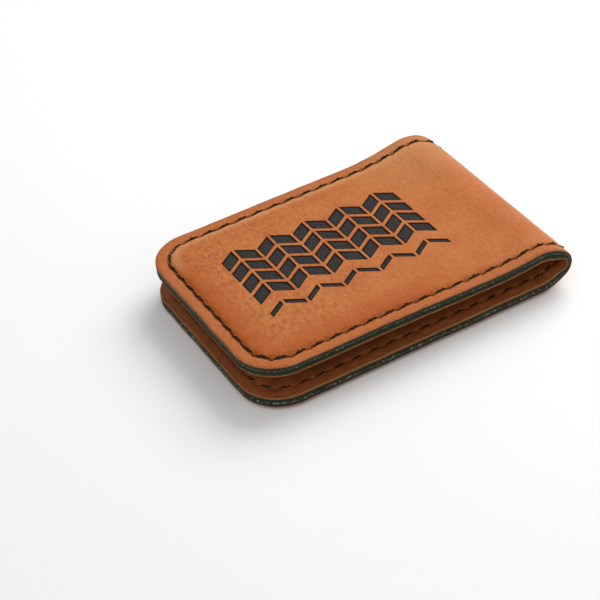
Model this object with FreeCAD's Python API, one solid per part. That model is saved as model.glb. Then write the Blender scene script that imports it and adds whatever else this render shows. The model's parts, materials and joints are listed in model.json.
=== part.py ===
"""Folding magnetic money clip: a leatherette strip, folded in half round a nose, that pinches banknotes.

The strip is two sewn sheets, a cover outside and a lining inside. Each flap holds a stiffener board
with two disc magnets between its sheets. The fold is cut into three short bends, so that it can
unroll about four lines on the outer face. Units are millimetres.

Frame: X along the clip with the fold at +X, Y across it, Z up. The origin is at the middle of the
base: the clip lies on the raised panel of its bottom flap.
"""
import FreeCAD
import Part
import math
import os

V = FreeCAD.Vector
UP = V(0, 0, 1)
ACROSS = V(0, 1, 0)

# ---- driving dimensions of the strip
LENGTH = 64.0  # from the flaps' ends to the nose of the fold
WIDTH = 44.45
CORNER_RADIUS = 8.0
SHEET = 1.1  # one leatherette sheet, cover or lining
NOTE_GAP = 4.4  # room for banknotes between the two linings
COVER_RISE = 0.6  # how far the panel over a board stands above the border
PANEL_INSET = 3.7  # from the strip's edge to the raised panel
PANEL_END = 15.9  # where the panels stop, short of the fold
PANEL_CORNER = 4.6

# ---- the fold, as seen from the side
HUMP_RISE = 0.9  # how far the fold stands above the top flap's border
RAMP_START = 16.0  # where the top flap starts to rise to the hump
OUTER_TIP_RADIUS = 3.1
OUTER_SHOULDER_RADIUS = 8.3
SEAM_NOSE_INSET = 0.65  # both sheets are pulled thinner round the nose
SEAM_TIP_RADIUS = 2.3
INNER_NOSE_INSET = 1.25
INNER_TIP_RADIUS = 1.4

# ---- the four lines that the fold turns about, as how far the outer face has turned
JOINT_TURNS_DEG = (22.5, 67.5, 112.5, 157.5)
JOINT_GAP = 0.1
JOINT_CUT_DEPTH = 2.7
BODY_NAMES = ("top", "upper_bend", "nose_bend", "lower_bend", "bottom")

# ---- what lies between the sheets
LINING_RECESS = 0.2  # how far a board sinks into its lining
CORE = COVER_RISE + LINING_RECESS
BOARD_INSET = 4.6
BOARD_CORNER = 3.8
POCKET_CLEARANCE = 0.1
MAGNET_RADIUS = 6.0
MAGNET_HOLE_CLEARANCE = 0.1
MAGNET_X = -18.5
MAGNET_Y = 9.0

# ---- stitching
STITCH_INSET = 2.4
STITCH_PITCH = 3.47
THREAD_RADIUS = 0.26
THREAD_CORNER = 0.36  # bend where a stitch dives into its hole
COVER_THREAD_LIFT = -0.02  # a stitch's axis above the sheet that it lies on
LINING_THREAD_LIFT = -0.16
LEG_GAP = 0.32  # from a hole's centre to the leg beside it
LEG_END = 0.12  # how far a leg stops short of the seam
SHORT_LEG = 0.1  # leg below the bend round the fold, where the sheets are thin
JOINT_MARGIN = 0.42  # bare sheet left beside each joint line
SHORTEST_STITCH = 2.0  # inside the nose there is no room for one

# ---- engraved herringbone band with a thinner row below it
ENGRAVING_DEPTH = 0.15
BAND_COLUMNS = 10
BAND_BARS = 4
BAND_START_X = -22.0
BAND_BASE_Y = -5.6
COLUMN_PITCH = 3.7
COLUMN_WIDTH = 3.2
BAR_PITCH = 3.9
BAR_HEIGHT = 3.1
BAR_RISE = 2.2
LOW_ROW_Y = -9.9
LOW_ROW_HEIGHT = 1.3

NOSE_X = LENGTH / 2
TIP_X = NOSE_X - LENGTH
HALF_WIDTH = WIDTH / 2
BASE_Z = COVER_RISE  # outer face of the bottom flap's border
COVER_TOP = BASE_Z + NOTE_GAP + 4 * SHEET  # outer face of the top flap's border
HUMP_TOP = COVER_TOP + HUMP_RISE
MID_Z = (BASE_Z + HUMP_TOP) / 2


def point(x, z, y=0.0):
    return V(x, y, z)


def side_line(depth, nose_inset, tip_radius):
    """The strip's side view at one depth below its outer face, from the top flap's end to the bottom's."""
    top, flap, bottom = HUMP_TOP - depth, COVER_TOP - depth, BASE_Z + depth
    shoulder = OUTER_SHOULDER_RADIUS - depth
    half = (top - bottom) / 2
    tip_x = NOSE_X - nose_inset - tip_radius
    # the shoulder arcs run into the tip arc without a kink
    reach = math.sqrt((shoulder - tip_radius) ** 2 - (shoulder - half) ** 2)
    hump_x = tip_x - reach
    upper, lower = top - shoulder, bottom + shoulder
    turn = math.atan2(reach, shoulder - half)
    ramp = hump_x - RAMP_START
    slope = 2 * math.atan((top - flap) / ramp)
    hollow = ramp / math.sin(slope) - shoulder

    def on_shoulder(angle, centre, side):
        return point(hump_x + shoulder * math.sin(angle), centre + side * shoulder * math.cos(angle))

    inflection = on_shoulder(-slope, upper, 1)
    half_slope = slope / 2
    ramp_rise = hollow * (1 - math.cos(half_slope))
    ramp_middle = point(RAMP_START + hollow * math.sin(half_slope), flap + ramp_rise)
    tip_top = on_shoulder(turn, upper, 1)
    tip_bottom = on_shoulder(turn, lower, -1)
    return [
        Part.LineSegment(point(TIP_X, flap), point(RAMP_START, flap)).toShape(),
        Part.Arc(point(RAMP_START, flap), ramp_middle, inflection).toShape(),
        Part.Arc(inflection, point(hump_x, top), tip_top).toShape(),
        Part.Arc(tip_top, point(NOSE_X - nose_inset, MID_Z), tip_bottom).toShape(),
        Part.Arc(tip_bottom, on_shoulder(turn / 2, lower, -1), point(hump_x, bottom)).toShape(),
        Part.LineSegment(point(hump_x, bottom), point(TIP_X, bottom)).toShape(),
    ]


OUTER_LINE = side_line(0.0, 0.0, OUTER_TIP_RADIUS)
SEAM_LINE = side_line(SHEET, SEAM_NOSE_INSET, SEAM_TIP_RADIUS)
INNER_LINE = side_line(2 * SHEET, INNER_NOSE_INSET, INNER_TIP_RADIUS)


def along(line, distance):
    """Point and direction at a distance along a side line."""
    for edge in line:
        if distance <= edge.Length or edge is line[-1]:
            parameter = edge.getParameterByLength(min(distance, edge.Length))
            return edge.valueAt(parameter), edge.tangentAt(parameter).normalize()
        distance -= edge.Length


def outward(direction):
    """The normal on the outer side of a line that runs in this direction."""
    return V(-direction.z, 0, direction.x)


def line_length(line):
    return sum(edge.Length for edge in line)


def halve(low, high, is_before):
    """The distance between two others where is_before turns false."""
    for _ in range(50):
        middle = (low + high) / 2
        if is_before(middle):
            low = middle
        else:
            high = middle
    return low


def joint_places():
    """Distance along the outer face, point and direction of each joint line."""
    hump = OUTER_LINE[0].Length + OUTER_LINE[1].Length
    fold_end = line_length(OUTER_LINE) - OUTER_LINE[-1].Length

    def turned_less(distance, turn):
        direction = along(OUTER_LINE, distance)[1]
        return math.atan2(-direction.z, direction.x) < turn

    places = []
    for turn_deg in JOINT_TURNS_DEG:
        turn = math.radians(turn_deg)
        distance = halve(hump, fold_end, lambda middle: turned_less(middle, turn))
        places.append((distance, *along(OUTER_LINE, distance)))
    return places


def joint_distances(line):
    """How far along a side line each joint's cut crosses it."""
    crossings = []
    for distance, spot, way in joint_places():
        guess = distance * line_length(line) / line_length(OUTER_LINE)
        reach = 4 * SHEET
        start, end = guess - reach, guess + reach
        crossings.append(halve(start, end, lambda middle: (along(line, middle)[0] - spot).dot(way) < 0))
    return crossings


def rounded_outline(inset, right_x, radius, right_radius, z):
    """A level outline that follows the flap's end, with square or rounded corners on the fold side."""
    left, low, high = TIP_X + inset, -HALF_WIDTH + inset, HALF_WIDTH - inset
    corners = [
        (left, low, radius),
        (right_x, low, right_radius),
        (right_x, high, right_radius),
        (left, high, radius),
    ]
    signs = [(1, 1), (-1, 1), (-1, -1), (1, -1)]
    starts, arcs = [], []
    for (x, y, r), (sx, sy) in zip(corners, signs):
        on_x, on_y = V(x + sx * r, y, z), V(x, y + sy * r, z)
        first, last = (on_y, on_x) if sx * sy > 0 else (on_x, on_y)
        if r > 0:
            reach = r * (1 - math.sqrt(0.5))
            arcs.append(Part.Arc(first, V(x + sx * reach, y + sy * reach, z), last).toShape())
        else:
            arcs.append(None)
        starts.append((first, last))
    edges = []
    for index, arc in enumerate(arcs):
        if arc:
            edges.append(arc)
        edges.append(Part.makeLine(starts[index][1], starts[(index + 1) % 4][0]))
    return Part.Wire(edges)


def prism(wire, height):
    return Part.Face(wire).extrude(V(0, 0, height))


def whole_sheet(outer, inner):
    """One sheet of the strip, folded, before it is cut at the joints."""
    ends = [
        Part.makeLine(inner[0].Vertexes[0].Point, outer[0].Vertexes[0].Point),
        Part.makeLine(inner[-1].Vertexes[-1].Point, outer[-1].Vertexes[-1].Point),
    ]
    section = Part.Face(Part.Wire(Part.__sortEdges__(outer + inner + ends)))
    section.translate(V(0, -HALF_WIDTH, 0))
    strip = section.extrude(V(0, WIDTH, 0))
    outline = rounded_outline(0.0, NOSE_X + 1, CORNER_RADIUS, 0.0, -1)
    return strip.common(prism(outline, HUMP_TOP + 2))


def cut_at_joints(sheet):
    """The sheet's five pieces, from the top flap round the fold to the bottom flap, by body name."""
    overhang = 0.5
    for _, spot, way in joint_places():
        corner = V(-JOINT_GAP / 2, -HALF_WIDTH - 1, -JOINT_CUT_DEPTH)
        slab = Part.makeBox(JOINT_GAP, WIDTH + 2, JOINT_CUT_DEPTH + overhang, corner)
        slab.Placement = FreeCAD.Placement(spot, FreeCAD.Rotation(UP, outward(way)))
        sheet = sheet.cut(slab)
    pieces = sheet.Solids
    flaps = sorted((s for s in pieces if s.CenterOfMass.x < 20), key=lambda s: -s.CenterOfMass.z)
    bends = sorted((s for s in pieces if s.CenterOfMass.x >= 20), key=lambda s: -s.CenterOfMass.z)
    return dict(zip(BODY_NAMES, [flaps[0], *bends, flaps[1]]))


def panel(z, height):
    """The raised panel of a flap: a rounded plate with eased edges on its far side."""
    pad = prism(rounded_outline(PANEL_INSET, PANEL_END, PANEL_CORNER, PANEL_CORNER, z), height)
    far = z + height
    rim = [e for e in pad.Edges if abs(e.BoundBox.ZMin - far) < 1e-6 and abs(e.BoundBox.ZMax - far) < 1e-6]
    return pad.makeFillet(0.8 * abs(height), rim)


def board_blank(z, height, growth=0.0):
    end_x = PANEL_END - (BOARD_INSET - PANEL_INSET) + growth
    corner = BOARD_CORNER + growth
    return prism(rounded_outline(BOARD_INSET - growth, end_x, corner, corner, z), height)


def magnet_disc(z, y, growth=0.0):
    return Part.makeCylinder(MAGNET_RADIUS + growth, CORE, V(MAGNET_X, y, z))


def engraving():
    """Columns of bars that slant up and down by turns, with a thinner row of bars below them."""
    rows = [(LOW_ROW_Y, LOW_ROW_HEIGHT)]
    rows += [(BAND_BASE_Y + bar * BAR_PITCH, BAR_HEIGHT) for bar in range(BAND_BARS)]
    floor = COVER_TOP + COVER_RISE - ENGRAVING_DEPTH
    bars = []
    for column in range(BAND_COLUMNS):
        left = BAND_START_X + column * COLUMN_PITCH
        right = left + COLUMN_WIDTH
        rise_left, rise_right = (0, BAR_RISE) if column % 2 == 0 else (BAR_RISE, 0)
        for low, height in rows:
            near, far = low + rise_left, low + rise_right
            corners = [V(left, near, floor), V(right, far, floor), V(right, far + height, floor)]
            corners += [V(left, near + height, floor), corners[0]]
            bars.append(prism(Part.makePolygon(corners), 1.0))
    return Part.makeCompound(bars)


def stitch(first, second, crown, normal, lift, leg):
    """One stitch: a bar that bows over the sheet between two needle holes, with a leg down each of them.

    crown is the sheet's own point half way between the holes.
    """
    direction = (second - first).normalize()
    normal = (normal - direction * normal.dot(direction)).normalize()
    middle = (first + second) / 2
    half = (second - first).Length / 2 - LEG_GAP
    bend = THREAD_CORNER
    bow = max(0.0, (crown - middle).dot(normal))
    tilt = math.asin(min(0.6, 2 * bow * (half - bend) / half ** 2))
    top = lift + bow
    sagitta = (half - bend + bend * math.sin(tilt)) * math.tan(tilt / 2)
    corner = top - sagitta - bend * math.cos(tilt)

    def at(x, height):
        return middle + direction * x + normal * height

    def corner_arc(side):
        low = at(side * half, corner)
        turned = (math.pi / 2 - tilt) / 2
        mid = at(side * (half - bend + bend * math.cos(turned)), corner + bend * math.sin(turned))
        high = at(side * (half - bend + bend * math.sin(tilt)), corner + bend * math.cos(tilt))
        return low, mid, high

    low, mid, high = corner_arc(-1)
    far_low, far_mid, far_high = corner_arc(1)
    down = normal * -leg
    bar = Part.makeLine(high, far_high) if tilt < 0.01 else Part.Arc(high, at(0, top), far_high).toShape()
    path = Part.Wire([
        Part.makeLine(low + down, low),
        Part.Arc(low, mid, high).toShape(),
        bar,
        Part.Arc(far_high, far_mid, far_low).toShape(),
        Part.makeLine(far_low, far_low + down),
    ])
    ring = Part.Wire(Part.makeCircle(THREAD_RADIUS, low + down, normal))
    return path.makePipeShell([ring], True, True)


def flap_needle_holes(length):
    """Needle holes of one flap as (distance from its end, y): up one row, round the end, down the other.

    length is the distance from the flap's end to its joint line.
    """
    radius = CORNER_RADIUS - STITCH_INSET
    row = length - JOINT_MARGIN - STITCH_INSET - radius
    across = WIDTH - 2 * (STITCH_INSET + radius)
    bend = radius * math.pi / 2
    total = 2 * (row + bend) + across
    count = round(total / STITCH_PITCH)
    centre_s, centre_y = STITCH_INSET + radius, across / 2
    holes = []
    for index in range(count + 1):
        walked = total * index / count
        side = -1 if walked <= total / 2 else 1
        walked = min(walked, total - walked)
        if walked < row:
            holes.append((centre_s + row - walked, side * (centre_y + radius)))
        elif walked < row + bend:
            angle = (walked - row) / radius
            holes.append((centre_s - radius * math.sin(angle), side * (centre_y + radius * math.cos(angle))))
        else:
            holes.append((STITCH_INSET, side * (centre_y - (walked - row - bend))))
    return holes


def sewn_rows(line, facing, lift):
    """Stitches on one face of the strip, by body name. facing is 1 on the outer face, -1 on the inner."""
    total = line_length(line)
    joints = joint_distances(line)
    rows = {name: [] for name in BODY_NAMES}

    def sew(name, start, end, leg):
        (s0, y0), (s1, y1) = start, end
        spot, way = along(line, (s0 + s1) / 2)
        crown = spot + ACROSS * ((y0 + y1) / 2)
        first = along(line, s0)[0] + ACROSS * y0
        second = along(line, s1)[0] + ACROSS * y1
        rows[name].append(stitch(first, second, crown, outward(way) * facing, lift, leg))

    deep_leg = SHEET - THREAD_CORNER - LEG_END
    holes = flap_needle_holes(joints[0])
    for start, end in zip(holes, holes[1:]):
        sew("top", start, end, deep_leg)
    holes = [(total - distance, y) for distance, y in flap_needle_holes(total - joints[-1])]
    for start, end in zip(holes, holes[1:]):
        sew("bottom", start, end, deep_leg)
    for name, start, end in zip(BODY_NAMES[1:-1], joints, joints[1:]):
        if end - start < SHORTEST_STITCH:
            continue
        for y in (-HALF_WIDTH + STITCH_INSET, HALF_WIDTH - STITCH_INSET):
            sew(name, (start + JOINT_MARGIN / 2, y), (end - JOINT_MARGIN / 2, y), SHORT_LEG)
    return {name: Part.makeCompound(solids) for name, solids in rows.items() if solids}


def build():
    covers = cut_at_joints(whole_sheet(OUTER_LINE, SEAM_LINE))
    linings = cut_at_joints(whole_sheet(SEAM_LINE, INNER_LINE))
    parts = {}
    for side, seam_z, way in (("top", COVER_TOP - SHEET, 1), ("bottom", BASE_Z + SHEET, -1)):
        clear = POCKET_CLEARANCE
        cover = covers[side].fuse(panel(seam_z + way * SHEET, way * COVER_RISE))
        cover = cover.cut(board_blank(seam_z, way * COVER_RISE, clear))
        if side == "top":
            cover = cover.cut(engraving())
        lining = linings[side].cut(board_blank(seam_z, -way * LINING_RECESS, clear))
        core_z = min(seam_z - way * LINING_RECESS, seam_z + way * COVER_RISE)
        board = board_blank(core_z, CORE)
        for place, y in (("front", -MAGNET_Y), ("back", MAGNET_Y)):
            board = board.cut(magnet_disc(core_z, y, MAGNET_HOLE_CLEARANCE))
            parts[f"{side}_magnet_{place}"] = magnet_disc(core_z, y)
        parts[f"{side}_board"] = board
        covers[side], linings[side] = cover.removeSplitter(), lining.removeSplitter()
    for name in BODY_NAMES:
        parts[f"{name}_cover"] = covers[name]
        parts[f"{name}_lining"] = linings[name]
    for name, stitches in sewn_rows(OUTER_LINE, 1, COVER_THREAD_LIFT).items():
        parts[f"{name}_cover_thread"] = stitches
    for name, stitches in sewn_rows(INNER_LINE, -1, LINING_THREAD_LIFT).items():
        parts[f"{name}_lining_thread"] = stitches
    return parts


def main():
    os.makedirs("parts", exist_ok=True)
    for old in os.listdir("parts"):
        os.remove(os.path.join("parts", old))
    for name, shape in build().items():
        if not shape.isValid():
            raise ValueError(f"{name} is not a valid shape")
        shape.exportStep(os.path.join("parts", name + ".step"))
        print(f"{name}: {len(shape.Solids)} solid(s), {shape.Volume:.1f} mm3")
    for _, spot, way in joint_places():
        print(f"joint line at x {spot.x:.4f}, z {spot.z:.4f}, running {way.x:.4f}, {way.z:.4f}")


main()
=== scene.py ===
import json
import math
from collections import namedtuple

import bpy
import numpy as np
from mathutils import Matrix, Vector, noise


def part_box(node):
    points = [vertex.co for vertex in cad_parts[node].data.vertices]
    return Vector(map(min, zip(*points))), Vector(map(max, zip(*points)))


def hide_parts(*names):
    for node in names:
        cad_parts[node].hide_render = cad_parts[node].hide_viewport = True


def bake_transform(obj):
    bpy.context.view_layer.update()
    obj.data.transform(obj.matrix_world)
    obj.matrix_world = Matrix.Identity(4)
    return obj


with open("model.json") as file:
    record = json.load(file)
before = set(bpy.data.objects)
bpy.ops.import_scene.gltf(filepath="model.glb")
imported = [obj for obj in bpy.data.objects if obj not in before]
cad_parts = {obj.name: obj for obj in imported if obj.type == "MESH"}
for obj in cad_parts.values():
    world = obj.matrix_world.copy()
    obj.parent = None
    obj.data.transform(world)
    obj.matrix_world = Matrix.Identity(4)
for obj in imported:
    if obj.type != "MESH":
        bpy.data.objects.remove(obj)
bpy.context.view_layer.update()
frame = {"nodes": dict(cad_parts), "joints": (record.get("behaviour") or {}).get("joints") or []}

# The money clip's looks: a cover and a lining sheet lofted round the fold, two-ply stitches in rows along
# their edges, and an engraved herringbone band. A place on the strip is "along", the distance over the
# outer face from the top flap's end to the bottom flap's, and "across", which is the frame's Y. Units are
# metres.
MM = 0.001


def low(node):
    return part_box(node)[0]


def high(node):
    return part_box(node)[1]


# ---- the side view, from the CAD nodes' boxes and the four hinge lines on the outer face
HINGES = {joint["name"]: Vector(joint["pos_m"]) for joint in frame["joints"]}
TIP_X = low("top_cover").x
NOSE_X = high("nose_bend_cover").x
HALF_WIDTH = high("top_cover").y
HUMP_TOP = high("top_cover").z
BASE_Z = HINGES["flap_opening"].z + HINGES["base_bending"].z - HUMP_TOP
SHEET = low("bottom_lining").z - BASE_Z
COVER_TOP = low("top_lining").z + 2 * SHEET
FIRST_TURN = math.radians(22.5)  # how far the outer face has turned at the first hinge line
SECOND_TURN = math.radians(67.5)
SHOULDER = (HUMP_TOP - HINGES["flap_opening"].z) / (1 - math.cos(FIRST_TURN))
NOSE = (HINGES["upper_nose_bending"].z - (BASE_Z + HUMP_TOP) / 2) / math.cos(SECOND_TURN)
NOSE_CENTRE_X = NOSE_X - NOSE
HUMP_X = HINGES["flap_opening"].x - SHOULDER * math.sin(FIRST_TURN)
HUMP_RISE = HUMP_TOP - COVER_TOP

# ---- how the real fold differs from front to back: it is twisted a little
TWIST = 0.9  # the hump's rise at the back edge is 1 + TWIST times the mean, at the front 1 - TWIST
FRONT_DIP = 0.5 * MM  # the top flap's front edge sags just before the hump
DIP_FADE = 1.5  # how fast the sag dies out towards the back
DIP_START_X = TIP_X + 24 * MM
FRONT_RAMP_X = TIP_X + 48 * MM
BACK_RAMP_X = TIP_X + 42 * MM
NOSE_SQUEEZE = 0.5  # the sheets' thickness round the nose, as a share of theirs elsewhere
SQUEEZE_RUNOUT = 2.5 * MM  # how far beyond the nose's arc they are still thinner

# ---- distances along the strip
FLAP_LENGTH = HUMP_X - TIP_X
MEAN_TURN = math.acos((SHOULDER - (HUMP_TOP - BASE_Z) / 2) / (SHOULDER - NOSE))
SHOULDER_END = FLAP_LENGTH + SHOULDER * MEAN_TURN
NOSE_END = SHOULDER_END + NOSE * (math.pi - 2 * MEAN_TURN)
STRIP_LENGTH = NOSE_END + SHOULDER_END
STRIP_MIDDLE = STRIP_LENGTH / 2

# ---- outline, raised panel and stitching
CORNER = 8 * MM
INNER_HALF = HALF_WIDTH - CORNER
PANEL_RISE = BASE_Z  # the bottom panel is raised just enough to rest on the ground
BOARD_INSET = HALF_WIDTH - high("top_board").y
BOARD_END = high("top_board").x - TIP_X
POCKET_COVER = high("top_board").z - (COVER_TOP - SHEET)
POCKET_LINING = (COVER_TOP - SHEET) - low("top_board").z
STITCH_INSET = 2.4 * MM
STITCH_PITCH = 3.47 * MM


def smooth(value, start, end):
    """0 before start, 1 after end and an even ease between."""
    t = np.clip((value - start) / (end - start), 0, 1)
    return t * t * (3 - 2 * t)


def bell(distance, width):
    return np.exp(-((distance / width) ** 2))


def unit(vectors):
    return vectors / np.maximum(np.linalg.norm(vectors, axis=-1, keepdims=True), 1e-12)


def flap_height(x, share, top, hump_x):
    """Height of the top flap's outer face at x, where the hump at hump_x is top high.

    share runs from 0 at the front edge to 1 at the back. The face is level, then a hollow arc and
    the crest's own arc carry it up to the hump. The clips keep the roots real outside each arc.
    """
    ramp_x = FRONT_RAMP_X + (BACK_RAMP_X - FRONT_RAMP_X) * share
    dip = FRONT_DIP * (1 - share) ** DIP_FADE
    start = COVER_TOP - dip
    ramp = hump_x - ramp_x
    slope = 2 * np.arctan((top - start) / ramp)
    hollow = ramp / np.sin(slope) - SHOULDER
    crest_x = hump_x - SHOULDER * np.sin(slope)
    flat = COVER_TOP - dip * smooth(x, DIP_START_X, ramp_x)
    rising = start + hollow - np.sqrt(hollow**2 - np.clip(x - ramp_x, 0, crest_x - ramp_x) ** 2)
    crest = top - SHOULDER + np.sqrt(SHOULDER**2 - np.clip(hump_x - x, 0, SHOULDER / 2) ** 2)
    return np.where(x < ramp_x, flat, np.where(x < crest_x, rising, crest))


def outer_face(along, across):
    """x and z of the outer face, before any relief."""
    share = np.clip((across + HALF_WIDTH) / (2 * HALF_WIDTH), 0, 1)
    top = COVER_TOP + HUMP_RISE * (1 + TWIST * (2 * share - 1))
    half = (top - BASE_Z) / 2
    turn = np.arccos((SHOULDER - half) / (SHOULDER - NOSE))
    hump_x = NOSE_CENTRE_X - (SHOULDER - NOSE) * np.sin(turn)
    upper = along < STRIP_MIDDLE
    way = np.where(upper, along, STRIP_LENGTH - along)
    in_flap, in_shoulder = way < FLAP_LENGTH, way < SHOULDER_END
    shoulder_share = np.clip((way - FLAP_LENGTH) / (SHOULDER_END - FLAP_LENGTH), 0, 1)
    nose_share = np.clip((way - SHOULDER_END) / (STRIP_MIDDLE - SHOULDER_END), 0, 1)
    on_shoulder = shoulder_share * turn
    on_nose = turn + nose_share * (math.pi / 2 - turn)
    flap_x = TIP_X + way / FLAP_LENGTH * (hump_x - TIP_X)
    shoulder_x = hump_x + SHOULDER * np.sin(on_shoulder)
    nose_x = NOSE_CENTRE_X + NOSE * np.sin(on_nose)
    x = np.where(in_flap, flap_x, np.where(in_shoulder, shoulder_x, nose_x))
    shoulder_drop = SHOULDER * (1 - np.cos(on_shoulder))
    nose_rise = NOSE * np.cos(on_nose)
    fold_top = np.where(in_shoulder, top - shoulder_drop, BASE_Z + half + nose_rise)
    fold_base = np.where(in_shoulder, BASE_Z + shoulder_drop, BASE_Z + half - nose_rise)
    z_top = np.where(in_flap, flap_height(flap_x, share, top, hump_x), fold_top)
    z_base = np.where(in_flap, BASE_Z, fold_base)
    return x, np.where(upper, z_top, z_base)


def thickness_share(along):
    """How thick the sheets are, as a share of their full thickness."""
    reach = (NOSE_END - SHOULDER_END) / 2 + SQUEEZE_RUNOUT
    near = np.clip(np.abs(along - STRIP_MIDDLE) / reach, 0, 1)
    return 1 - (1 - NOSE_SQUEEZE) * np.cos(near * math.pi / 2) ** 2


def place(along, across, height):
    """Points at a height above the outer face. Below it, the sheets are thinner round the nose."""
    step = 0.05 * MM
    before_x, before_z = outer_face(along - step, across)
    after_x, after_z = outer_face(along + step, across)
    x, z = outer_face(along, across)
    way = unit(np.stack([after_x - before_x, after_z - before_z], -1))
    lift = np.where(height < 0, height * thickness_share(along), height)
    return np.stack([x - way[..., 1] * lift, across, z + way[..., 0] * lift], -1)


def face_base(outward):
    """Height of the cover's face, where outward is 1, or of the lining's, where it is -1."""
    return 0.0 if outward > 0 else -2 * SHEET


def end_distance(along):
    """Distance from the nearer end of the strip."""
    return np.minimum(along, STRIP_LENGTH - along)


def inset_of(along, across):
    """Distance in from the strip's outline."""
    end, side = end_distance(along), HALF_WIDTH - np.abs(across)
    corner = CORNER - np.hypot(CORNER - end, CORNER - side)
    return np.where((end < CORNER) & (side < CORNER), corner, np.minimum(end, side))


# ---- where each piece of the strip begins and ends
def along_at_turn(degrees):
    """Distance along at which the outer face has turned this far from level."""
    turn = math.radians(min(degrees, 180 - degrees))
    if turn < MEAN_TURN:
        way = FLAP_LENGTH + SHOULDER * turn
    else:
        way = SHOULDER_END + NOSE * (turn - MEAN_TURN)
    return way if degrees <= 90 else STRIP_LENGTH - way


# The strip is cut half way between the hinge lines. A span runs from start to end, between the bodies first
# and second, and its pieces stand for the nodes of the CAD parts named last.
CUTS = [along_at_turn(45), along_at_turn(90), along_at_turn(135)]
Span = namedtuple("Span", "name first second start end parts")
SPANS = [
    Span("top_flap", "top_flap", "upper_bend", along_at_turn(0), CUTS[0], ["top"]),
    Span("upper_fold", "upper_bend", "nose_bend", CUTS[0], CUTS[1], ["upper_bend", "nose_bend"]),
    Span("lower_fold", "nose_bend", "lower_bend", CUTS[1], CUTS[2], ["nose_bend", "lower_bend"]),
    Span("bottom_flap", "lower_bend", "bottom_flap", CUTS[2], along_at_turn(180), ["bottom"]),
]


def section_points(along):
    """The strip's cross-section at one place: its outer and inner face at both edges."""
    across = np.array([-HALF_WIDTH, HALF_WIDTH] * 2)
    height = np.array([0.0, 0.0, -2 * SHEET, -2 * SHEET])
    return place(np.full(4, along), across, height)


def bend_with_strip(obj, span):
    """Bakes the piece's transform into its mesh. The chord across its span is worked out but not used, so
    nothing bends it.
    """
    start_points, end_points = section_points(span.start), section_points(span.end)
    chord = end_points[:2].mean(0) - start_points[:2].mean(0)
    chord /= np.linalg.norm(chord)
    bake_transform(obj)


# ---- stitching
def flap_holes():
    """Needle holes from the first cut along the front row, round the end and back along the back row."""
    radius = CORNER - STITCH_INSET
    row, bend, across = CUTS[0] - CORNER, radius * math.pi / 2, 2 * INNER_HALF
    total = 2 * (row + bend) + across
    count = round(total / STITCH_PITCH)
    holes = []
    for index in range(count + 1):
        walked = total * index / count
        side = -1 if walked <= total / 2 else 1
        walked = min(walked, total - walked)
        if walked < row:
            holes.append((CUTS[0] - walked, side * (INNER_HALF + radius)))
        elif walked < row + bend:
            angle = (walked - row) / radius
            reach = INNER_HALF + radius * math.cos(angle)
            holes.append((CORNER - radius * math.sin(angle), side * reach))
        else:
            holes.append((STITCH_INSET, side * (INNER_HALF - (walked - row - bend))))
    return holes


def stitch_runs():
    """For each span, the holes of each unbroken row of stitches in it."""
    top = flap_holes()
    bottom = [(STRIP_LENGTH - along, across) for along, across in reversed(top)]
    edge = HALF_WIDTH - STITCH_INSET
    upper_nose = [[(CUTS[0], side * edge), (CUTS[1], side * edge)] for side in (1, -1)]
    lower_nose = [[(CUTS[1], side * edge), (CUTS[2], side * edge)] for side in (1, -1)]
    return [[top], upper_nose, lower_nose, [bottom]]


RUNS = stitch_runs()
HOLES = np.array(sorted({hole for runs in RUNS for run in runs for hole in run}))


def hole_distance(along, across):
    """Distance to the nearest needle hole."""
    nearest = np.full(along.shape, np.inf)
    for hole_along, hole_across in HOLES:
        nearest = np.minimum(nearest, np.hypot(along - hole_along, across - hole_across))
    return nearest


# ---- relief: the sewing, then the padded panels
HOLE_RADIUS = 0.34 * MM
COVER_HOLE = 0.5 * MM  # depth of a needle hole
LINING_HOLE = 0.4 * MM
PUCKER_RADIUS = 1.0 * MM
PUCKER_SHARE = 0.16  # depth of the pucker round a hole, as a share of the hole's
GROOVE_RADIUS = 0.42 * MM
GROOVE_SHARE = 0.2  # depth of the groove that the thread lies in, likewise
PAD_START = STITCH_INSET + 0.3 * MM  # inset at which the panel starts to rise
PAD_PULL = 0.30 * MM  # how much further in it starts beside a hole
PAD_PULL_RADIUS = 0.9 * MM
PAD_RIM = 0.45 * MM  # the distance over which its rim rises
PAD_CROWN = 2.6 * MM  # the distance over which its crown does
FOLD_RIM_SHARE = 0.12  # the rim's rise beyond the board, as a share of the panel's
BOARD_RIM_SHARE = 0.42  # what the board adds to the rim and to the crown
BOARD_CROWN_SHARE = 0.46
PAD_FADE_START = BOARD_END - 4 * MM
PAD_FADE_END = BOARD_END + 8 * MM
TOP_UNEVENNESS = 0.035 * MM
BOTTOM_UNEVENNESS = 0.012 * MM
REST_CLEARANCE = 0.02 * MM  # the bottom panel lies flat on the ground, so its crown is cut off this far up
LINING_PAD = 0.08 * MM
LINING_PAD_RIM = 0.8 * MM
LINING_UNEVENNESS = 0.02 * MM
CREASE_HEIGHT = 0.10 * MM
CREASE_PITCH = 1.24 * MM
CREASE_REACH = 4.5 * MM  # how far from the fold's middle the lining is creased


def drift(along, across, size, seed):
    """Smooth noise from about -1 to 1, with lumps about this size."""
    flat = zip(along.ravel() / size, across.ravel() / size)
    values = [noise.noise(Vector((a, b, seed))) for a, b in flat]
    return np.array(values).reshape(along.shape)


def sewn_relief(along, across, depth):
    """Thread groove, needle holes and the puckers that they pull, down to about depth at a hole."""
    from_hole = hole_distance(along, across)
    from_row = np.abs(inset_of(along, across) - STITCH_INSET)
    hole = bell(from_hole, HOLE_RADIUS)
    pucker = PUCKER_SHARE * bell(from_hole, PUCKER_RADIUS)
    groove = GROOVE_SHARE * bell(from_row, GROOVE_RADIUS)
    return -depth * (hole + pucker + groove)


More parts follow.
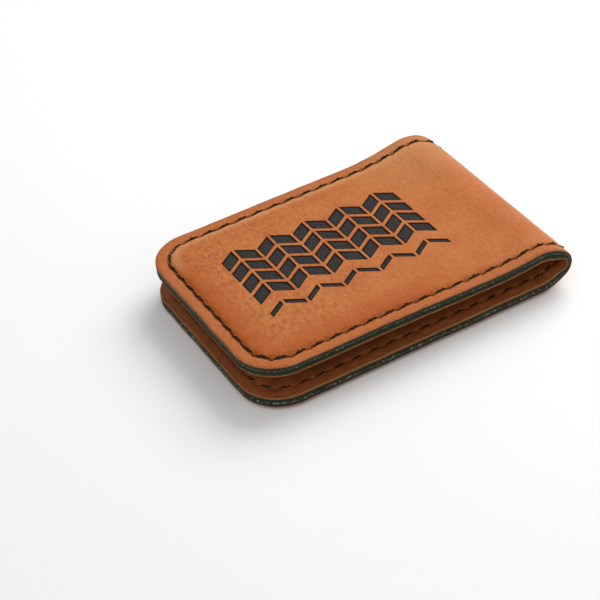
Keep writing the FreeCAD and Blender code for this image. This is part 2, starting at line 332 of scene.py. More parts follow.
def cover_relief(along, across):
    """Height of the cover's face above the plain strip: panel, sewing and slight unevenness."""
    inset = inset_of(along, across)
    pulled = PAD_PULL * bell(hole_distance(along, across), PAD_PULL_RADIUS)
    inside = np.clip(inset - pulled - PAD_START, 0, None)
    rim = 1 - np.exp(-inside / PAD_RIM)
    crown = 1 - np.exp(-inside / PAD_CROWN)
    board = 1 - smooth(end_distance(along), PAD_FADE_START, PAD_FADE_END)
    pad = PANEL_RISE * (FOLD_RIM_SHARE * rim + board * (BOARD_RIM_SHARE * rim + BOARD_CROWN_SHARE * crown))
    lumps = drift(along, across, 7 * MM, 1.5) + 0.5 * drift(along, across, 3 * MM, 7.5)
    lumps *= smooth(inset, 0, 3 * MM)
    top = pad + TOP_UNEVENNESS * lumps
    bottom = np.minimum(pad, PANEL_RISE - REST_CLEARANCE) + BOTTOM_UNEVENNESS * (lumps - 1)
    return np.where(along < STRIP_MIDDLE, top, bottom) + sewn_relief(along, across, COVER_HOLE)


def lining_relief(along, across):
    """The same for the lining's face, with the creases that it is squeezed into inside the fold."""
    inside = np.clip(inset_of(along, across) - PAD_START, 0, None)
    pad = LINING_PAD * (1 - np.exp(-inside / LINING_PAD_RIM))
    wave = np.sin(math.pi * (2 * along / CREASE_PITCH + 1.6 * drift(along, across, 5 * MM, 3.5)))
    height = CREASE_HEIGHT * (0.6 + 0.4 * drift(along, across, 9 * MM, 9.5))
    creases = bell(along - STRIP_MIDDLE, CREASE_REACH) * height * wave
    lumps = LINING_UNEVENNESS * drift(along, across, 5 * MM, 5.5)
    return pad + creases + lumps + sewn_relief(along, across, LINING_HOLE)


# ---- the engraved herringbone band: columns of slanting bars above a row of short ones
ENGRAVING_DEPTH = 0.15 * MM
WALL = 0.04 * MM  # how far an engraved edge slopes
OUTLINE = 0.18 * MM  # width of the darker burnt line inside an engraved edge
COLUMN_COUNT = 10
COLUMN_START = 10 * MM
COLUMN_PITCH = 3.7 * MM
COLUMN_WIDTH = 3.2 * MM
BAR_COUNT = 4
BAR_START = -5.6 * MM
BAR_PITCH = 3.9 * MM
BAR_HEIGHT = 3.1 * MM
BAR_RISE = 2.2 * MM
SHORT_BAR = (-9.9 * MM, -8.6 * MM)
BAND_FADE = 3.5 * MM  # how far beyond the band the grid lines still slant


def spans_at(first, pitch, width, count):
    """Start and end of each of count equal spans."""
    return [(first + pitch * index, first + pitch * index + width) for index in range(count)]


COLUMNS = spans_at(COLUMN_START, COLUMN_PITCH, COLUMN_WIDTH, COLUMN_COUNT)
BARS = [SHORT_BAR] + spans_at(BAR_START, BAR_PITCH, BAR_HEIGHT, BAR_COUNT)


def zigzag(along, across):
    """How far the band's slant moves a grid line that lies at this distance across."""
    turns, rises = [COLUMNS[0][0] - BAND_FADE], [0]
    for index, (start, end) in enumerate(COLUMNS):
        turns += [start, end]
        rises += [0, BAR_RISE] if index % 2 == 0 else [BAR_RISE, 0]
    turns.append(COLUMNS[-1][1] + BAND_FADE)
    rises.append(0)
    fade_front = smooth(across, -INNER_HALF, BARS[0][0])
    fade_back = 1 - smooth(across, BARS[-1][1], INNER_HALF)
    return np.interp(along, turns, rises) * fade_front * fade_back


def ink_share(value, spans):
    """0 outside the spans, 1 on the line just inside each edge and 2 further in."""
    depth = np.max([np.minimum(value - start, end - value) for start, end in spans], axis=0)
    return np.interp(depth, [-WALL / 2, WALL / 2, OUTLINE, OUTLINE + WALL], [0, 1, 1, 2])


def engraved_lines(spans):
    """Grid lines at the top and foot of each engraved edge and at the darker line's inside."""
    steps = np.array([-WALL / 2, WALL / 2, OUTLINE])
    return [value for start, end in spans for value in (*(start + steps), *(end - steps))]


# ---- the grid that each sheet is built on
FINE_ROW = (1.7 * MM, 3.2 * MM)  # the insets between which the sewing needs a finer grid
FINE_SPACING = 0.2 * MM
CORNER_STEPS = 34
# The cut edge: inset from the outline in millimetres and share of the sheet's depth, from face to seam.
RIM = [
    (0.17, 0.03),
    (0.05, 0.12),
    (0.0, 0.27),
    (0.03, 0.42),
    (0.0, 0.58),
    (0.0, 0.78),
    (0.05, 0.93),
    (0.17, 1.0),
]
RIM_START = 0.34 * MM
EDGE_WOBBLE = 0.09 * MM  # how far the cut edge wanders from a true line
WOBBLE_SIZE = 3.5 * MM
WOBBLE_SEED = 21.5


def lines(fixed, spacing):
    """The fixed lines in order, with evenly spaced ones between them."""
    fixed = sorted({round(float(value), 7) for value in fixed})
    filled = [fixed[0]]
    for before, after in zip(fixed, fixed[1:]):
        count = max(1, math.ceil((after - before) / spacing - 0.01))
        filled += [before + (after - before) * step / count for step in range(1, count + 1)]
    return np.array(filled)


def rim_profile(spacing):
    """Insets and depths from the inner block's side out to the edge, down over it and back at the seam."""
    outer = lines([RIM_START, FINE_ROW[0]], spacing)
    fine = lines(FINE_ROW, FINE_SPACING)
    inner = lines([FINE_ROW[1], CORNER], spacing)
    insets = np.unique(np.concatenate([outer, fine, inner]))
    rim_insets, rim_depths = np.array(RIM).T
    inset = np.concatenate([insets[::-1], rim_insets * MM, insets])
    depth = np.concatenate([0 * insets, rim_depths * SHEET, 0 * insets + SHEET])
    return inset, depth


def quads(grid):
    """Corners of the faces between a grid's neighbouring rows and columns."""
    faces = np.stack([grid[:-1, :-1], grid[:-1, 1:], grid[1:, 1:], grid[1:, :-1]], -1)
    return faces.reshape(-1, 4)


def block_lines(spacing, engraved):
    """Grid lines of the inner block: along the strip, and across it."""
    rows = [CORNER, FLAP_LENGTH, *CUTS, STRIP_LENGTH - FLAP_LENGTH, STRIP_LENGTH - CORNER]
    columns = [-INNER_HALF, INNER_HALF]
    rows += [along for along, _ in HOLES if CORNER < along < STRIP_LENGTH - CORNER]
    if engraved:
        rows += engraved_lines(COLUMNS)
        columns += engraved_lines(BARS)
    return lines(rows, spacing), lines(columns, spacing)


def block_outline(last_row, last_column):
    """Row and column of each place round the inner block, and the way out from it as an angle.

    A corner of the block is there once for each step of the rounded corner outside it.
    """
    sides = [
        ([(row, 0) for row in range(last_row + 1)], -90),
        ([(last_row, column) for column in range(last_column + 1)], 0),
        ([(row, last_column) for row in range(last_row, -1, -1)], 90),
        ([(0, column) for column in range(last_column, -1, -1)], 180),
    ]
    spine, facing = [], []
    for cells, angle in sides:
        turned = [angle + 90 * step / CORNER_STEPS for step in range(1, CORNER_STEPS)]
        spine += cells + [cells[-1]] * len(turned)
        facing += [angle] * len(cells) + turned
    return np.array(spine), np.radians(facing)


def cut_faces(row, face, seam, ring, spine):
    """The faces that cap the sheet where it is cut at one row of the block: the block's and both edges'."""
    capping = [quads(np.stack([face[row], seam[row]]))]
    for column, order in ((0, 1), (face.shape[1] - 1, -1)):
        at_side = np.flatnonzero((spine[:, 0] == row) & (spine[:, 1] == column))[0]
        profile = ring[at_side]
        half = len(profile) // 2
        strip = quads(np.stack([profile[:half], profile[: half - 1 : -1]]))
        capping.append(strip[:, ::-order])
    return np.concatenate(capping)


def shell_grid(spacing, engraved):
    """A sheet's closed shell in strip coordinates, with its faces and the faces that cap it at each cut.

    Two flat blocks are its face and its seam side. A ring round them carries the edge, with the profile
    of the cut edge running from one to the other.
    """
    rows, columns = block_lines(spacing, engraved)
    block_along, block_line = np.meshgrid(rows, columns, indexing="ij")
    block_across = block_line + zigzag(block_along, block_line) * engraved
    ink = np.minimum(ink_share(block_along, COLUMNS), ink_share(block_line, BARS)) * engraved
    face = np.arange(block_along.size).reshape(block_along.shape)
    seam = face + face.size

    spine, facing = block_outline(len(rows) - 1, len(columns) - 1)
    spine_along, spine_across, facing = rows[spine[:, :1]], columns[spine[:, 1:]], facing[:, None]
    inset, depth = rim_profile(spacing)
    reach = (CORNER - inset[1:-1])[None, :]
    wobble = drift(spine_along + np.cos(facing) * CORNER, spine_across, WOBBLE_SIZE, WOBBLE_SEED)
    reach = reach + EDGE_WOBBLE * wobble * smooth(reach, CORNER - 2 * MM, CORNER)
    ring_along = spine_along + np.cos(facing) * reach
    ring_across = spine_across + np.sin(facing) * reach
    ring_depth = np.broadcast_to(depth[1:-1], ring_along.shape)
    own = 2 * face.size + np.arange(ring_along.size).reshape(ring_along.shape)
    ring = np.column_stack([face[tuple(spine.T)], own, seam[tuple(spine.T)]])

    cut_rows = [int(np.argmin(np.abs(rows - cut))) for cut in CUTS]
    return {
        "along": np.concatenate([block_along.ravel(), block_along.ravel(), ring_along.ravel()]),
        "across": np.concatenate([block_across.ravel(), block_across.ravel(), ring_across.ravel()]),
        "depth": np.concatenate([np.zeros(face.size), np.full(face.size, SHEET), ring_depth.ravel()]),
        "ink": np.concatenate([ink.ravel(), np.zeros(face.size + ring_along.size)]),
        "faces": np.concatenate([quads(face)[:, ::-1], quads(seam), quads(np.vstack([ring, ring[:1]]))]),
        "caps": [cut_faces(row, face, seam, ring, spine) for row in cut_rows],
    }


# ---- turning a grid into pieces
def corner_normals(points, faces):
    """Each face's own normal, with its area as its length."""
    a, b, c, d = (points[faces[:, corner]] for corner in range(4))
    return np.cross(c - a, d - b)


def smooth_normals(points, faces):
    """Normals of the whole sheet, so that its pieces meet without a visible join."""
    total = np.zeros_like(points)
    own = corner_normals(points, faces)
    for corner in range(4):
        np.add.at(total, faces[:, corner], own)
    return unit(total)


def link_mesh(mesh, material):
    """An object in the scene for a mesh, smoothly shaded and with this material."""
    mesh.polygons.foreach_set("use_smooth", [True] * len(mesh.polygons))
    mesh.materials.append(material)
    obj = bpy.data.objects.new(mesh.name, mesh)
    bpy.context.scene.collection.objects.link(obj)
    return obj


def store_vectors(mesh, name, values):
    """Keeps a vector for each point, for the materials to read."""
    stored = mesh.attributes.new(name, "FLOAT_VECTOR", "POINT")
    stored.data.foreach_set("vector", values.astype(np.float32).ravel())


def make_piece(name, points, faces, normals, attributes, material):
    """An object from some faces of a sheet, a normal for each corner and vectors stored at the points."""
    used, renumbered = np.unique(faces, return_inverse=True)
    renumbered = renumbered.reshape(faces.shape).tolist()
    corners = [list(dict.fromkeys(face)) for face in renumbered]
    mesh = bpy.data.meshes.new(name)
    mesh.from_pydata(points[used].tolist(), [], corners)
    for key, values in attributes.items():
        store_vectors(mesh, key, values[used])
    piece = link_mesh(mesh, material)
    split = []
    for own, face, kept in zip(normals, renumbered, corners):
        split += [own[face.index(vertex)] for vertex in kept]
    mesh.normals_split_custom_set(split)
    return piece


def board_pocket(along, across):
    """1 where the stiffening board lies between the sheets."""
    inside = smooth(inset_of(along, across), BOARD_INSET - 0.5 * MM, BOARD_INSET - 0.1 * MM)
    return inside * (1 - smooth(end_distance(along), BOARD_END + 0.1 * MM, BOARD_END + 0.5 * MM))


def piece_caps(caps, index, outward):
    """The faces that close a piece where it is cut from the next one and from the one before."""
    closing = []
    if index < len(caps):
        closing.append(caps[index][:, ::-outward])
    if index > 0:
        closing.append(caps[index - 1][:, ::outward])
    return np.concatenate(closing)


def make_sheet(kind, spacing, relief_of, outward, pocket, material):
    """The cover, where outward is 1, or the lining, where it is -1, as one piece for each span."""
    grid = shell_grid(spacing, engraved=outward > 0)
    along, across, depth, ink = (grid[key] for key in ("along", "across", "depth", "ink"))
    faces = grid["faces"] if outward > 0 else grid["faces"][:, ::-1]
    relief = relief_of(along, across) * (1 - depth / SHEET)
    sunk = depth - board_pocket(along, across) * pocket * (depth >= SHEET)
    base = face_base(outward)
    plain_points = place(along, across, base + outward * (relief - sunk))
    engraving = ENGRAVING_DEPTH * np.minimum(ink, 1)
    points = place(along, across, base + outward * (relief - sunk - engraving))

    # The engraved edges are shaded sharply and everything else as if it weren't engraved.
    split = smooth_normals(plain_points, faces)[faces]
    wall = (ink[faces].min(1) < 0.5) & (ink[faces].max(1) > 0.5)
    split[wall] = unit(corner_normals(points, faces))[wall][:, None]

    attributes = {
        "strip": np.stack([along, across, depth * outward], -1) / MM,
        "zone": np.stack([inset_of(along, across) / MM, ink, depth / MM], -1),
    }
    owner = np.searchsorted(CUTS, along[faces].mean(1))
    pieces = []
    for index, span in enumerate(SPANS):
        caps = piece_caps(grid["caps"], index, outward)
        cap_normals = np.repeat(unit(corner_normals(points, caps))[:, None], 4, axis=1)
        own_faces = np.concatenate([faces[owner == index], caps])
        own_normals = np.concatenate([split[owner == index], cap_normals])
        piece = make_piece(f"{span.name}_{kind}_sheet", points, own_faces, own_normals, attributes, material)
        bend_with_strip(piece, span)
        pieces.append(piece)
    return pieces


# ---- thread
THREAD_STEPS = 18
PLY_SIDES = 8
PLY_RADIUS = 0.175 * MM
PLY_OFFSET = 0.14 * MM
PLY_TURNS = 1.5  # turns of the two plies round each other in each stitch
PHASE_STEP = 2.4  # how far the twist has turned from one stitch to the next, in radians
STITCH_SLANT = 0.25 * MM
COVER_CREST = 0.16 * MM  # height of the thread's centre above the groove in the middle of a stitch
LINING_CREST = -0.04 * MM  # lower, so that the two linings' rows clear each other when the clip is shut
STITCH_DIP = 0.70 * MM  # depth of the thread's centre below the groove at the needle holes
ARCH_POWER = 0.62  # under 1, so that a stitch rises steeply from its holes
TAPER_POWER = 0.25
TAPER_START = 0.03  # share of a stitch over which its end stays at its thinnest


def stitch_line(start, end, relief_of, outward, lift):
    """Points along a stitch from hole to hole, some distance above or below its centreline."""
    share = np.linspace(0, 1, THREAD_STEPS)
    way = np.array(end) - np.array(start)
    sideways = np.array([-way[1], way[0]]) / np.hypot(*way)
    slant = STITCH_SLANT * outward * (2 * share - 1)
    along = start[0] + way[0] * share + sideways[0] * slant
    across = start[1] + way[1] * share + sideways[1] * slant
    level = np.median(relief_of(along, across))
    crest = COVER_CREST if outward > 0 else LINING_CREST
    arch = np.sin(math.pi * share) ** ARCH_POWER
    height = level - STITCH_DIP + (STITCH_DIP + crest) * arch + lift
    return place(along, across, face_base(outward) + outward * height)


def stitch_tubes(start, end, relief_of, outward, phase):
    """Points and faces of one stitch, two plies twisted round each other, and where each point is on it."""
    centre = stitch_line(start, end, relief_of, outward, 0.0)
    up = unit(stitch_line(start, end, relief_of, outward, 0.1 * MM) - centre)
    tangent = unit(np.gradient(centre, axis=0))
    side = unit(np.cross(tangent, up))
    up = np.cross(side, tangent)
    share = np.linspace(0, 1, THREAD_STEPS)
    middle_share = np.clip(share, TAPER_START, 1 - TAPER_START)
    taper = np.sin(math.pi * middle_share)[:, None] ** TAPER_POWER
    points, faces, marks = [], [], []
    for ply in range(2):
        turn = phase + math.pi * ply + 2 * math.pi * PLY_TURNS * share[:, None]
        swing = PLY_OFFSET * (np.cos(turn) * side + np.sin(turn) * up)
        grid = ply * PLY_SIDES * THREAD_STEPS + np.arange(PLY_SIDES * THREAD_STEPS)
        grid = grid.reshape(PLY_SIDES, THREAD_STEPS)
        for corner in range(PLY_SIDES):
            angle = 2 * math.pi * corner / PLY_SIDES
            round_ply = PLY_RADIUS * (math.cos(angle) * side + math.sin(angle) * up)
            points.append(centre + (swing + round_ply) * taper)
            round_share = np.full(THREAD_STEPS, corner / PLY_SIDES)
            marks.append(np.stack([share, round_share, np.full(THREAD_STEPS, ply)], -1))
        faces += quads(np.vstack([grid, grid[:1]])).tolist()
        faces += [grid[:, 0].tolist(), grid[::-1, -1].tolist()]
    return np.concatenate(points), faces, np.concatenate(marks)


def make_thread(kind, relief_of, outward, material):
    """The stitches of one side of the strip, as one piece for each span."""
    pieces = []
    for span, runs in zip(SPANS, RUNS):
        points, faces, marks = [], [], []
        count = 0
        for run in runs:
            for number, (start, end) in enumerate(zip(run, run[1:])):
                phase = PHASE_STEP * number
                stitch, own_faces, own_marks = stitch_tubes(start, end, relief_of, outward, phase)
                points.append(stitch)
                faces += [[count + vertex for vertex in face] for face in own_faces]
                own_marks[:, 2] += 2 * number
                marks.append(own_marks)
                count += len(stitch)
        mesh = bpy.data.meshes.new(f"{span.name}_{kind}_stitches")
        mesh.from_pydata(np.concatenate(points).tolist(), [], faces)
        store_vectors(mesh, "twist", np.concatenate(marks))
        piece = link_mesh(mesh, material)
        bend_with_strip(piece, span)
        pieces.append(piece)
    return pieces


# ---- materials
class Nodes:
    """Makes and links a material's shader nodes."""

    def __init__(self, name):
        self.material = bpy.data.materials.new(name)
        self.material.use_nodes = True
        self.tree = self.material.node_tree
        self.shader = self.tree.nodes["Principled BSDF"]

    def feed(self, node, inputs):
        """Links or sets a node's inputs."""
        for name, value in inputs.items():
            if isinstance(value, bpy.types.NodeSocket):
                self.tree.links.new(value, node.inputs[name])
            else:
                node.inputs[name].default_value = value

    def add(self, kind, inputs, output=0, **settings):
        made = self.tree.nodes.new("ShaderNode" + kind)
        for name, value in settings.items():
            setattr(made, name, value)
        self.feed(made, inputs)
        return made.outputs[output]

    def finish(self, sockets):
        """Sets or links the shader's sockets and gives the material."""
        self.feed(self.shader, sockets)
        return self.material

    def attribute(self, name):
        return self.add("Attribute", {}, "Vector", attribute_name=name)

    def object_place(self):
        return self.add("TexCoord", {}, "Object")

    def axis(self, vector, letter):
        return self.add("SeparateXYZ", {"Vector": vector}, letter)

    def stretch(self, vector, scale):
        return self.add("VectorMath", {0: vector, 1: scale}, operation="MULTIPLY")

    def grain(self, vector, scale, detail=3.0, roughness=0.55):
        inputs = {"Vector": vector, "Scale": scale, "Detail": detail, "Roughness": roughness}
        return self.add("TexNoise", inputs)

    def pebbles(self, vector):
        """The embossed pebbles of leatherette, as the distance from the nearest one's middle."""
        stir = self.add("TexNoise", {"Vector": vector, "Scale": 1.5, "Detail": 1.0}, "Color")
        stirred = self.add("VectorMath", {0: vector, 1: stir}, operation="ADD")
        return self.add("TexVoronoi", {"Vector": stirred, "Scale": 2.4}, "Distance")

    def ramp(self, value, start, end):
        """0 where value is at most start, 1 where it is at least end. It falls where end is the lower."""
        inputs = {"Value": value, "From Min": start, "From Max": end}
        return self.add("MapRange", inputs, interpolation_type="SMOOTHSTEP")

    def sum(self, first, second):
        return self.add("Math", {0: first, 1: second}, operation="ADD")

    def times(self, first, second):
        return self.add("Math", {0: first, 1: second}, operation="MULTIPLY")

    def away_from(self, value, middle):
        """How far value is from middle, on either side."""
        gap = self.add("Math", {0: value, 1: middle}, operation="SUBTRACT")
        return self.add("Math", {0: gap}, operation="ABSOLUTE")

    def between(self, share, first, second):
        """The colour first where share is 0 and second where it is 1."""
        return self.add("Mix", {0: share, 6: first, 7: second}, 2, data_type="RGBA")

    def paint(self, colour, over, *shares):
        """over with colour laid on it, as strongly as the product of the shares."""
        strength = shares[0]
        for share in shares[1:]:
            strength = self.times(strength, share)
        return self.between(strength, over, colour)

    def blend_values(self, share, first, second):
        return self.add("Mix", {0: share, 2: first, 3: second}, 0)

    def bump(self, height, distance, strength=1.0):
        return self.add("Bump", {"Height": height, "Distance": distance, "Strength": strength})


def rgb(red, green, blue):
    """A colour from the usual 0 to 255 values, in the linear ones that the shader takes."""
    shares = [value / 255 for value in (red, green, blue)]
    return (*[s / 12.92 if s <= 0.04045 else ((s + 0.055) / 1.055) ** 2.4 for s in shares], 1.0)


# The materials read two vectors in millimetres, which a sheet's points store. "strip" is the place along
# and across the strip and in its depth. "zone" is the inset, the ink share and the depth.


def tan_tone(n, strip, inset, depth, fine, creased):
    """Orange-tan leatherette: mottled and with painted shade on the panel's slope at the flaps' ends, and
    painted highlights round the nose and over the hump.
    """
    along, across = n.axis(strip, "X"), n.axis(strip, "Y")
    broad = n.grain(strip, 0.13, 3.0, 0.6)
    patches = n.grain(strip, 0.45, 4.0, 0.6)
    tan = n.between(n.ramp(broad, 0.35, 0.65), rgb(190, 105, 47), rgb(196, 115, 56))

    # the mottling is stronger towards the flap's end
    lively = n.blend_values(n.ramp(along, 45.0, 8.0), 0.32, 0.9)
    tan = n.paint(rgb(172, 85, 33), tan, n.ramp(patches, 0.50, 0.72), n.ramp(broad, 0.62, 0.40), lively)
    # painted highlight on the wrinkles' ridges and painted shade in their hollows, following the creased
    # bumps
    tan = n.paint(rgb(203, 128, 70), tan, n.ramp(creased, 0.46, 0.68), lively)
    tan = n.paint(rgb(165, 82, 32), tan, n.ramp(creased, 0.50, 0.32), lively)

    # painted shade on the panel's slope just inside the stitches, except towards the fold and the back
    painted_slope_shade = n.times(n.ramp(inset, 9.0, 3.2), n.ramp(inset, 2.2, 3.0))
    painted_slope_shade = n.times(painted_slope_shade, n.times(n.ramp(across, 22.0, 8.0), n.ramp(along, 50.0, 30.0)))
    tan = n.paint(rgb(181, 86, 22), tan, painted_slope_shade, n.ramp(patches, -0.1, 0.7))

    # painted highlight along the panel's rim towards the back, and a plainer tan outside the stitches
    crest = n.times(n.ramp(inset, 2.6, 3.2), n.ramp(inset, 5.2, 3.4))
    tan = n.paint(rgb(210, 150, 100), tan, crest, n.ramp(across, 8.0, 17.0), n.ramp(patches, -0.2, 0.9))
    tan = n.paint(rgb(181, 100, 46), tan, n.ramp(inset, 2.3, 1.5), n.ramp(fine, 0.0, 0.9))

    # painted highlight round the nose and over the hump
    nose_highlight = n.ramp(n.away_from(along, STRIP_MIDDLE / MM), 5.5, 0.5)
    tan = n.paint(rgb(207, 141, 88), tan, nose_highlight, n.ramp(patches, -0.3, 0.9))
    hump_highlight = n.times(n.ramp(along, 40.0, 56.0), n.ramp(across, 2.0, 17.0))
    tan = n.paint(rgb(195, 131, 78), tan, hump_highlight, n.ramp(patches, -0.2, 1.0))

    # painted shade in the thread's groove, with pale specks all over and rubbed edges
    groove_shade = n.ramp(n.away_from(inset, STITCH_INSET / MM), 0.50, 0.10)
    tan = n.paint(rgb(128, 58, 22), tan, groove_shade, n.ramp(fine, 0.1, 0.7))
    specks = n.ramp(n.add("TexVoronoi", {"Vector": strip, "Scale": 0.9}, "Distance"), 0.10, 0.05)
    tan = n.paint(rgb(224, 172, 128), tan, specks, n.ramp(fine, 0.5, 0.6))
    rubbed = n.times(n.ramp(inset, 0.9, 0.2), n.ramp(depth, 0.2, 0.0))
    return n.paint(rgb(168, 92, 48), tan, rubbed, n.ramp(patches, 0.35, 0.6))


def burnt_tone(n, strip, ink):
    """The engraving's speckled grey, with a darker line just inside its edges."""
    speckle = n.grain(strip, 5.2, 2.0, 0.75)
    burnt = n.between(n.ramp(speckle, 0.46, 0.68), rgb(20, 19, 19), rgb(98, 95, 94))
    return n.between(n.ramp(ink, 1.4, 1.7), rgb(19, 17, 17), burnt)


def edge_tone(n, strip, depth, fine):
    """The cover's dark green inked edge, with pale painted highlights towards the seam."""
    ink = n.between(n.ramp(fine, 0.40, 0.70), rgb(30, 31, 14), rgb(58, 60, 36))
    seam_glints = n.ramp(n.grain(strip, 1.6, 3.0, 0.7), 0.50, 0.64)
    return n.paint(rgb(132, 140, 114), ink, n.ramp(depth, 0.66, 0.88), seam_glints)


def cover_material():
    """Orange-tan leatherette with an inked edge and a burnt grey engraving."""
    n = Nodes("tan_leatherette")
    strip, zone = n.attribute("strip"), n.attribute("zone")
    inset, ink, depth = (n.axis(zone, letter) for letter in "XYZ")
    fine = n.grain(strip, 2.2, 4.0, 0.65)
    creased = n.grain(n.stretch(strip, (1.0, 0.6, 1.0)), 1.3, 5.0, 0.72)
    tan = tan_tone(n, strip, inset, depth, fine, creased)
    engraved = n.ramp(ink, 0.3, 0.7)
    at_edge = n.ramp(n.sum(depth, n.times(fine, 0.10)), 0.14, 0.30)
    face = n.between(engraved, tan, burnt_tone(n, strip, ink))
    colour = n.between(at_edge, face, edge_tone(n, strip, depth, fine))
    relief = n.sum(n.times(n.pebbles(strip), -0.6), n.times(creased, 2.4))
    rough = n.blend_values(at_edge, n.blend_values(engraved, 0.55, 0.85), 0.42)
    return n.finish({
        "Base Color": colour,
        "Roughness": n.sum(rough, n.times(fine, 0.12)),
        "Normal": n.bump(relief, 0.00016, 0.9),
        "Specular IOR Level": 0.25,
    })


def lining_material():
    """The darker leatherette inside, with a fuzzy brown cut edge that is inked towards the seam."""
    n = Nodes("brown_leatherette")
    strip, zone = n.attribute("strip"), n.attribute("zone")
    inset, depth = n.axis(zone, "X"), n.axis(zone, "Z")
    patches = n.grain(strip, 0.35, 4.0, 0.6)
    fine = n.grain(strip, 2.4, 4.0, 0.65)
    fuzz = n.grain(n.stretch(strip, (1.0, 1.0, 3.0)), 3.0, 4.0, 0.75)
    ragged = n.sum(depth, n.times(fine, 0.16))
    at_edge = n.ramp(ragged, 0.16, 0.34)
    brown = n.between(n.ramp(patches, 0.35, 0.68), rgb(143, 79, 38), rgb(162, 94, 48))
    brown = n.paint(rgb(178, 110, 62), brown, n.ramp(fine, 0.45, 0.75), n.ramp(patches, 0.3, 0.7))
    backing = n.between(n.ramp(fuzz, 0.36, 0.64), rgb(104, 66, 30), rgb(164, 118, 66))
    edge_ink = n.between(n.ramp(fuzz, 0.42, 0.70), rgb(30, 31, 14), rgb(66, 68, 42))
    colour = n.between(at_edge, brown, n.between(n.ramp(ragged, 0.42, 0.56), backing, edge_ink))
    rubbed = n.times(n.ramp(inset, 0.8, 0.2), n.ramp(patches, 0.4, 0.6))
    relief = n.sum(n.times(n.pebbles(strip), -0.6), n.times(patches, 1.2))
    return n.finish({
        "Base Color": n.paint(rgb(112, 60, 30), colour, rubbed, n.ramp(depth, 0.2, 0.0)),
        "Roughness": n.sum(n.blend_values(at_edge, 0.52, 0.85), n.times(fine, 0.1)),
        "Normal": n.bump(relief, 0.00014, 0.8),
        "Specular IOR Level": 0.25,
    })


def thread_material():
    """Black bonded thread with an olive cast, and pale glints painted as highlights on its twisted fibres.
    """
    n = Nodes("black_thread")
    fibres = n.grain(n.stretch(n.attribute("twist"), (5.0, 22.0, 3.0)), 1.0, 3.0, 0.7)
    return n.finish({
        # the fibres' pale colour is a painted highlight
        "Base Color": n.between(n.ramp(fibres, 0.44, 0.66), rgb(17, 11, 4), rgb(92, 71, 38)),
        "Roughness": n.blend_values(n.ramp(fibres, 0.35, 0.7), 0.62, 0.42),
        "Normal": n.bump(fibres, 0.00005, 0.6),
        "Specular IOR Level": 0.08,
    })


def board_material():
    """Pressed grey-brown fibre board."""
    n = Nodes("fibre_board")
    position = n.object_place()
    fibres = n.grain(n.stretch(position, (900.0, 2600.0, 1600.0)), 1.0, 4.0, 0.7)
    patches = n.grain(position, 160.0, 3.0, 0.6)
    colour = n.between(n.ramp(fibres, 0.35, 0.7), rgb(146, 128, 100), rgb(186, 168, 138))
    colour = n.paint(rgb(122, 104, 80), colour, n.ramp(patches, 0.5, 0.7), n.ramp(fibres, 0.4, 0.6))
    return n.finish({
        "Base Color": colour,
        "Roughness": 0.88,
        "Normal": n.bump(fibres, 0.00008, 0.5),
    })


def magnet_material():
    """Bright nickel plating with fine scuffs."""
    n = Nodes("nickel_plating")
    position = n.object_place()
    scuffs = n.grain(n.stretch(position, (400.0, 5200.0, 900.0)), 1.0, 3.0, 0.65)
    clouds = n.grain(position, 220.0, 3.0, 0.55)
    return n.finish({
        "Base Color": n.between(n.ramp(clouds, 0.35, 0.7), rgb(196, 193, 184), rgb(220, 217, 210)),
        "Roughness": n.blend_values(n.ramp(scuffs, 0.45, 0.75), 0.18, 0.36),
        "Metallic": 1.0,
        "Normal": n.bump(scuffs, 0.00002, 0.3),
    })


# ---- the object
COVER_SPACING = 0.33 * MM
LINING_SPACING = 0.48 * MM


def replace_nodes(pieces, kind):
    """The pieces stand for the CAD's nodes of this kind, which are hidden."""
    for piece, span in zip(pieces, SPANS):
        for part in span.parts:
            if f"{part}_{kind}" in frame["nodes"]:
                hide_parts(f"{part}_{kind}")


def build_clip():
    cover = make_sheet("cover", COVER_SPACING, cover_relief, 1, POCKET_COVER, cover_material())
    lining = make_sheet("lining", LINING_SPACING, lining_relief, -1, POCKET_LINING, lining_material())
    thread = thread_material()
    cover_thread = make_thread("cover", cover_relief, 1, thread)
    lining_thread = make_thread("lining", lining_relief, -1, thread)
    replace_nodes(cover, "cover")
    replace_nodes(lining, "lining")
    replace_nodes(cover_thread, "cover_thread")
    replace_nodes(lining_thread, "lining_thread")


def dress_hidden_nodes():
    """The boards and magnets keep their CAD shape."""
    finishes = [
        ("board", board_material(), "stiffener_board"),
        ("magnet", magnet_material(), "magnet_plating"),
    ]
    for name, node in frame["nodes"].items():
        for word, material, slot in finishes:
            if f"_{word}" in name:
                node.data.materials.clear()
                node.data.materials.append(material)


# ---- stage, light and camera. Azimuth 0 is in front of the object and 90 at its right, in degrees.
TARGET = Vector((-15.6, -7.8, 9.4)) * MM
CAMERA_AZIMUTH = -26.0
CAMERA_ELEVATION = 38.0
CAMERA_ROLL = math.radians(-6.64)
CAMERA_DISTANCE = 309 * MM
LENS_MM = 106.9
SENSOR_MM = 36.0
FLOOR_REACH = 6.0
LIGHTS = [
    {"name": "key_light", "azimuth": 112, "elevation": 44, "distance": 0.42, "size": 0.3, "watts": 1.35},
    {"name": "side_light", "azimuth": -70, "elevation": 55, "distance": 0.9, "size": 0.9, "watts": 1.6},
    {"name": "fill_light", "azimuth": 20, "elevation": 45, "distance": 0.9, "size": 1.0, "watts": 0.9},
]
SKY_STRENGTH = 0.42


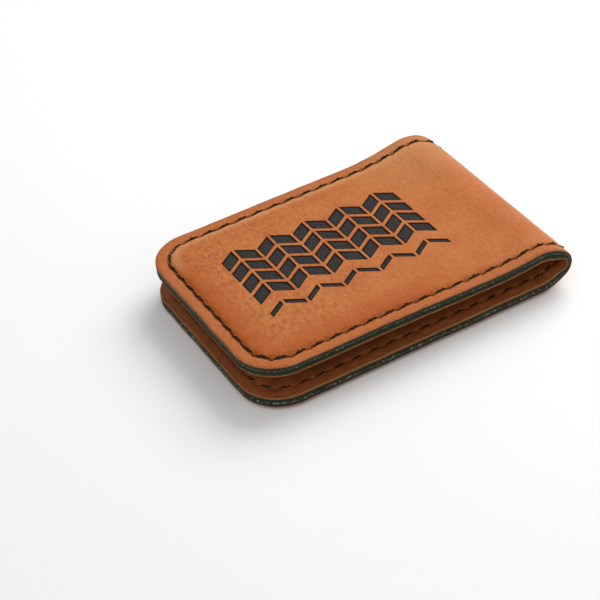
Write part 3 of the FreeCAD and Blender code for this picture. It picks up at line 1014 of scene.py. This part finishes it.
def place_round(azimuth, elevation, distance):
    """A place round the target."""
    azimuth, elevation = math.radians(azimuth), math.radians(elevation)
    flat = math.cos(elevation)
    away = Vector((math.sin(azimuth) * flat, -math.cos(azimuth) * flat, math.sin(elevation)))
    return TARGET + away * distance


def aim_at_target(obj, location, roll=0.0):
    obj.location = location
    turn = (TARGET - location).to_track_quat("-Z", "Y").to_matrix().to_4x4()
    obj.rotation_euler = (turn @ Matrix.Rotation(roll, 4, "Z")).to_euler()


def make_floor():
    size = FLOOR_REACH
    level = min(low("bottom_cover").z, 0.0)
    corners = [(-size, -size, level), (size, -size, level), (size, size, level), (-size, size, level)]
    mesh = bpy.data.meshes.new("floor")
    mesh.from_pydata(corners, [], [(0, 1, 2, 3)])
    n = Nodes("floor_paper")
    mesh.materials.append(n.finish({"Base Color": (0.94, 0.94, 0.94, 1.0), "Roughness": 0.9}))
    floor = bpy.data.objects.new("floor", mesh)
    bpy.context.scene.collection.objects.link(floor)


def make_light(name, azimuth, elevation, distance, size, watts):
    light = bpy.data.lights.new(name, "AREA")
    light.size = size
    light.energy = watts
    obj = bpy.data.objects.new(name, light)
    bpy.context.scene.collection.objects.link(obj)
    aim_at_target(obj, place_round(azimuth, elevation, distance))


def make_sky():
    world = bpy.data.worlds.new("studio")
    world.use_nodes = True
    backdrop = world.node_tree.nodes["Background"]
    backdrop.inputs["Color"].default_value = (1.0, 1.0, 1.0, 1.0)
    backdrop.inputs["Strength"].default_value = SKY_STRENGTH
    bpy.context.scene.world = world
    bpy.context.scene.view_settings.view_transform = "Standard"


def make_camera():
    lens = bpy.data.cameras.new("camera")
    lens.lens = LENS_MM
    lens.sensor_width = SENSOR_MM
    lens.clip_start = 0.01
    camera = bpy.data.objects.new("camera", lens)
    bpy.context.scene.collection.objects.link(camera)
    aim_at_target(camera, place_round(CAMERA_AZIMUTH, CAMERA_ELEVATION, CAMERA_DISTANCE), CAMERA_ROLL)
    bpy.context.scene.camera = camera


build_clip()
dress_hidden_nodes()
make_floor()
for settings in LIGHTS:
    make_light(**settings)
make_sky()
make_camera()
